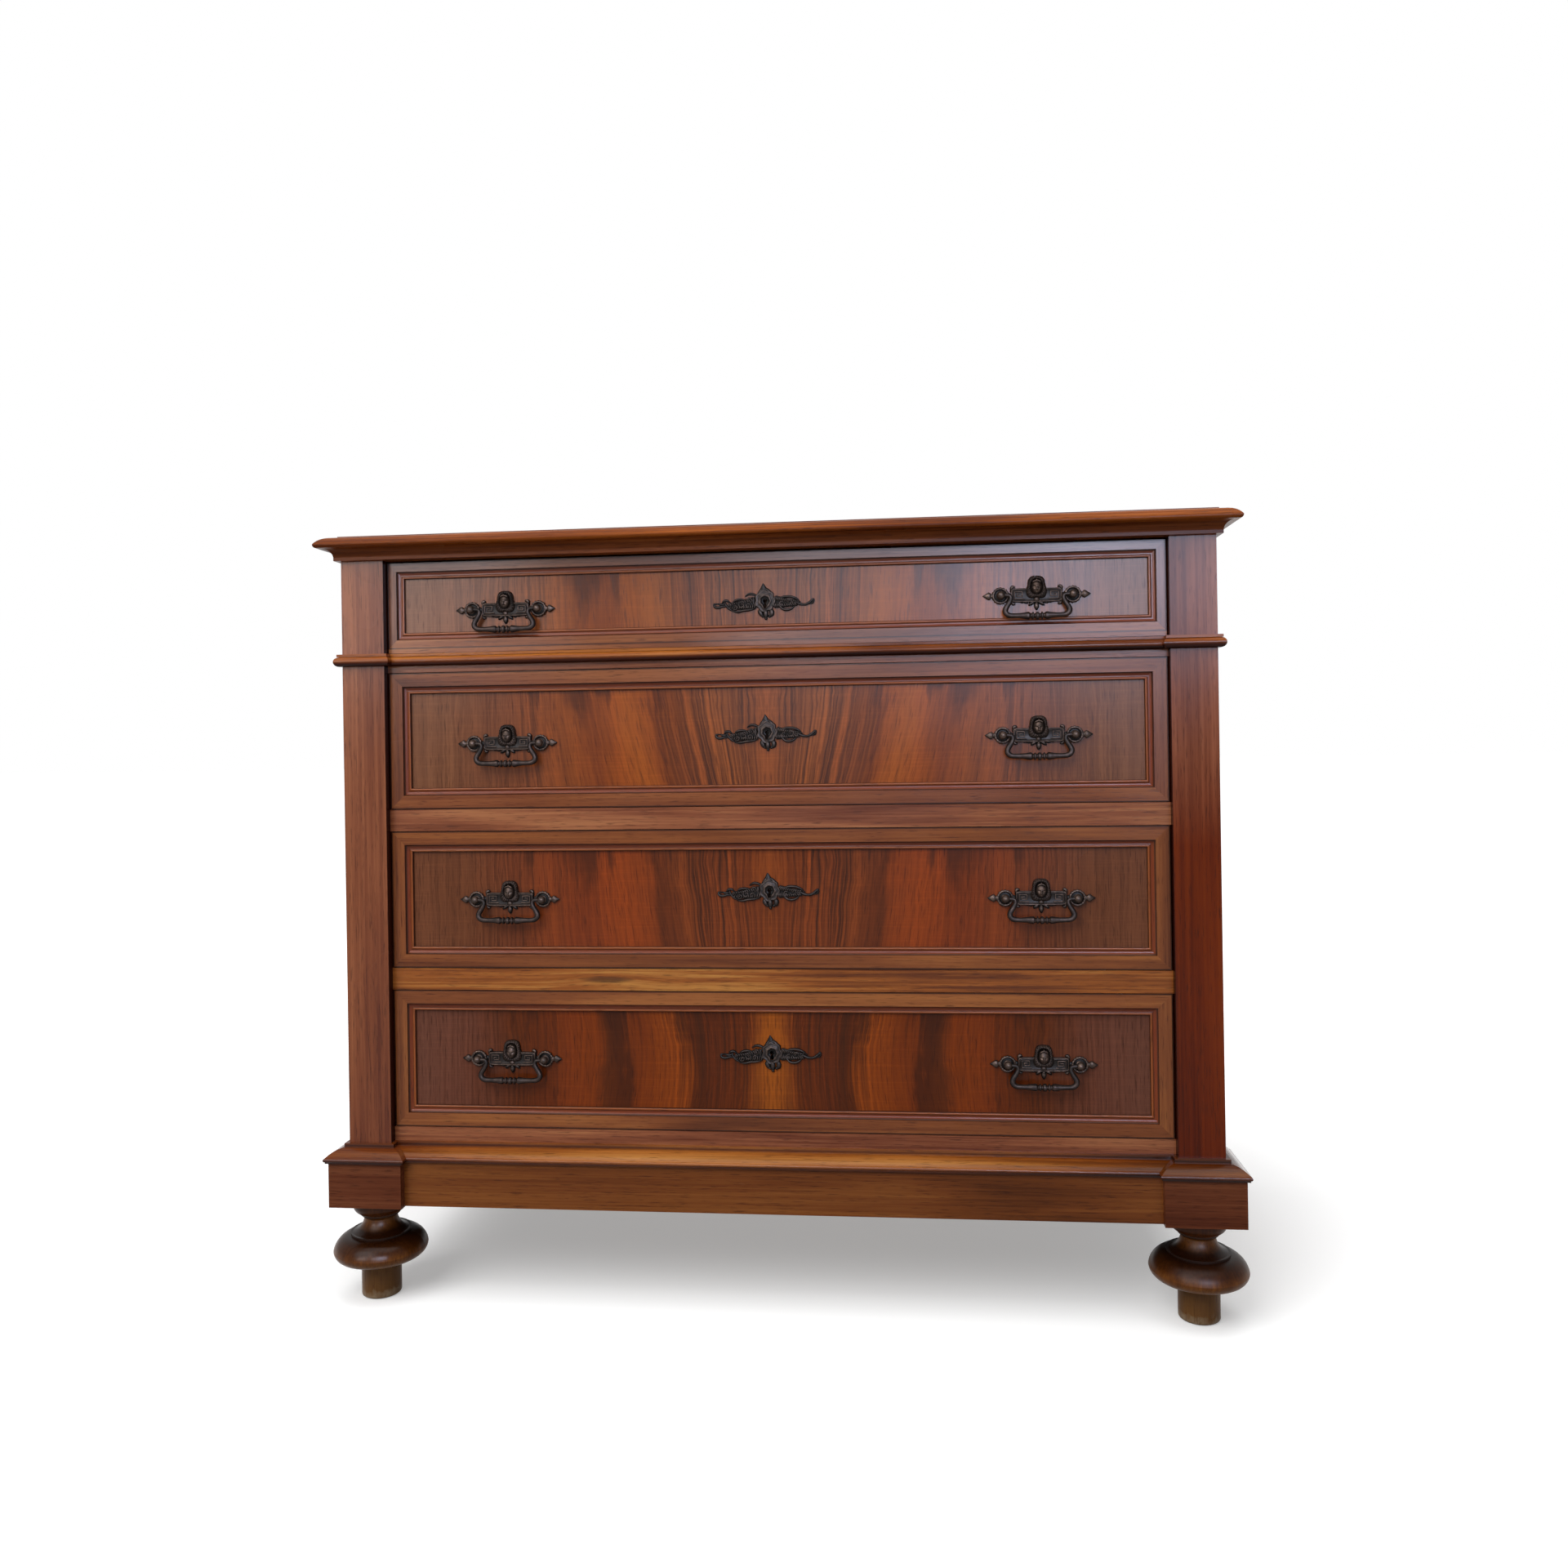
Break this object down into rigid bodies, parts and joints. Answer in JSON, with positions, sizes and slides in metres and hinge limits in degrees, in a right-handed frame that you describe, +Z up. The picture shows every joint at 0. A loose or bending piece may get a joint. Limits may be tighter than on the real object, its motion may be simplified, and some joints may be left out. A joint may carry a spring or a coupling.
{
  "type": "chest of drawers",
  "caption": "Walnut chest of drawers with corner pilasters, a moulded top, a plinth on turned bun feet, panelled fronts, cast bail handles with masks, and locks.",
  "frame": {"origin": "on the floor, under the middle of the chest's bounding box", "axes": "+X to the right as seen from the front, +Y to the wall, +Z up; the drawers open along -Y"},
  "size_m": [1.1714, 0.5397, 0.995],
  "materials": {
    "walnut": "french polish",
    "walnut_veneer": "french polish",
    "pine": "planed, unfinished",
    "bronze": "dark patina",
    "lock_iron": "filed"
  },
  "bodies": {
    "case": {"back_boards": "pine", "case_floor": "pine", "cornice_frame": "walnut", "cornice_front": "walnut", "drawer_guides": "pine", "drawer_rails": "walnut", "drawer_runners": "pine", "front_feet": "walnut", "left_pilaster": "walnut", "left_side": "walnut", "plinth_back": "pine", "plinth_blocks": "walnut", "plinth_front": "walnut", "plinth_moulding": "walnut", "plinth_sides": "walnut", "rear_feet": "walnut", "right_pilaster": "walnut", "right_side": "walnut", "top_board": "walnut", "waist_moulding": "walnut"},
    "drawer_one": {"drawer_one_bottom": "pine", "drawer_one_box": "pine", "drawer_one_escutcheon": "bronze", "drawer_one_frame": "walnut", "drawer_one_front": "walnut_veneer", "drawer_one_handle_plates": "bronze", "drawer_one_lock": "lock_iron"},
    "drawer_one_bail_left": {"drawer_one_bail_left": "bronze"},
    "drawer_one_bail_right": {"drawer_one_bail_right": "bronze"},
    "drawer_one_bolt": {"drawer_one_lock_bolt": "lock_iron"},
    "drawer_two": {"drawer_two_bottom": "pine", "drawer_two_box": "pine", "drawer_two_escutcheon": "bronze", "drawer_two_frame": "walnut", "drawer_two_front": "walnut_veneer", "drawer_two_handle_plates": "bronze", "drawer_two_lock": "lock_iron"},
    "drawer_two_bail_left": {"drawer_two_bail_left": "bronze"},
    "drawer_two_bail_right": {"drawer_two_bail_right": "bronze"},
    "drawer_two_bolt": {"drawer_two_lock_bolt": "lock_iron"},
    "drawer_three": {"drawer_three_bottom": "pine", "drawer_three_box": "pine", "drawer_three_escutcheon": "bronze", "drawer_three_frame": "walnut", "drawer_three_front": "walnut_veneer", "drawer_three_handle_plates": "bronze", "drawer_three_lock": "lock_iron"},
    "drawer_three_bail_left": {"drawer_three_bail_left": "bronze"},
    "drawer_three_bail_right": {"drawer_three_bail_right": "bronze"},
    "drawer_three_bolt": {"drawer_three_lock_bolt": "lock_iron"},
    "drawer_four": {"drawer_four_bottom": "pine", "drawer_four_box": "pine", "drawer_four_escutcheon": "bronze", "drawer_four_frame": "walnut", "drawer_four_front": "walnut_veneer", "drawer_four_handle_plates": "bronze", "drawer_four_lock": "lock_iron"},
    "drawer_four_bail_left": {"drawer_four_bail_left": "bronze"},
    "drawer_four_bail_right": {"drawer_four_bail_right": "bronze"},
    "drawer_four_bolt": {"drawer_four_lock_bolt": "lock_iron"}
  },
  "joints": [
    {"name": "drawer_one_slide", "type": "slide", "parent": "case", "child": "drawer_one", "axis": [0, -1, 0], "range_m": [0, 0.36]},
    {"name": "drawer_one_bail_left_swing", "type": "hinge", "parent": "drawer_one", "child": "drawer_one_bail_left", "pos_m": [-0.34, -0.22862, 0.8969], "axis": [-1, 0, 0], "range_deg": [-3, 150]},
    {"name": "drawer_one_bail_right_swing", "type": "hinge", "parent": "drawer_one", "child": "drawer_one_bail_right", "pos_m": [0.34, -0.22862, 0.8969], "axis": [-1, 0, 0], "range_deg": [-3, 150]},
    {"name": "drawer_one_bolt_slide", "type": "slide", "parent": "drawer_one", "child": "drawer_one_bolt", "axis": [0, 0, 1], "range_m": [0, 0.009]},
    {"name": "drawer_two_slide", "type": "slide", "parent": "case", "child": "drawer_two", "axis": [0, -1, 0], "range_m": [0, 0.36]},
    {"name": "drawer_two_bail_left_swing", "type": "hinge", "parent": "drawer_two", "child": "drawer_two_bail_left", "pos_m": [-0.34, -0.22862, 0.723], "axis": [-1, 0, 0], "range_deg": [-8, 150]},
    {"name": "drawer_two_bail_right_swing", "type": "hinge", "parent": "drawer_two", "child": "drawer_two_bail_right", "pos_m": [0.34, -0.22862, 0.723], "axis": [-1, 0, 0], "range_deg": [-8, 150]},
    {"name": "drawer_two_bolt_slide", "type": "slide", "parent": "drawer_two", "child": "drawer_two_bolt", "axis": [0, 0, 1], "range_m": [0, 0.009]},
    {"name": "drawer_three_slide", "type": "slide", "parent": "case", "child": "drawer_three", "axis": [0, -1, 0], "range_m": [0, 0.36]},
    {"name": "drawer_three_bail_left_swing", "type": "hinge", "parent": "drawer_three", "child": "drawer_three_bail_left", "pos_m": [-0.34, -0.22862, 0.52], "axis": [-1, 0, 0], "range_deg": [-8, 150]},
    {"name": "drawer_three_bail_right_swing", "type": "hinge", "parent": "drawer_three", "child": "drawer_three_bail_right", "pos_m": [0.34, -0.22862, 0.52], "axis": [-1, 0, 0], "range_deg": [-8, 150]},
    {"name": "drawer_three_bolt_slide", "type": "slide", "parent": "drawer_three", "child": "drawer_three_bolt", "axis": [0, 0, 1], "range_m": [0, 0.009]},
    {"name": "drawer_four_slide", "type": "slide", "parent": "case", "child": "drawer_four", "axis": [0, -1, 0], "range_m": [0, 0.36]},
    {"name": "drawer_four_bail_left_swing", "type": "hinge", "parent": "drawer_four", "child": "drawer_four_bail_left", "pos_m": [-0.34, -0.22862, 0.313], "axis": [-1, 0, 0], "range_deg": [-8, 150]},
    {"name": "drawer_four_bail_right_swing", "type": "hinge", "parent": "drawer_four", "child": "drawer_four_bail_right", "pos_m": [0.34, -0.22862, 0.313], "axis": [-1, 0, 0], "range_deg": [-8, 150]},
    {"name": "drawer_four_bolt_slide", "type": "slide", "parent": "drawer_four", "child": "drawer_four_bolt", "axis": [0, 0, 1], "range_m": [0, 0.009]}
  ]
}
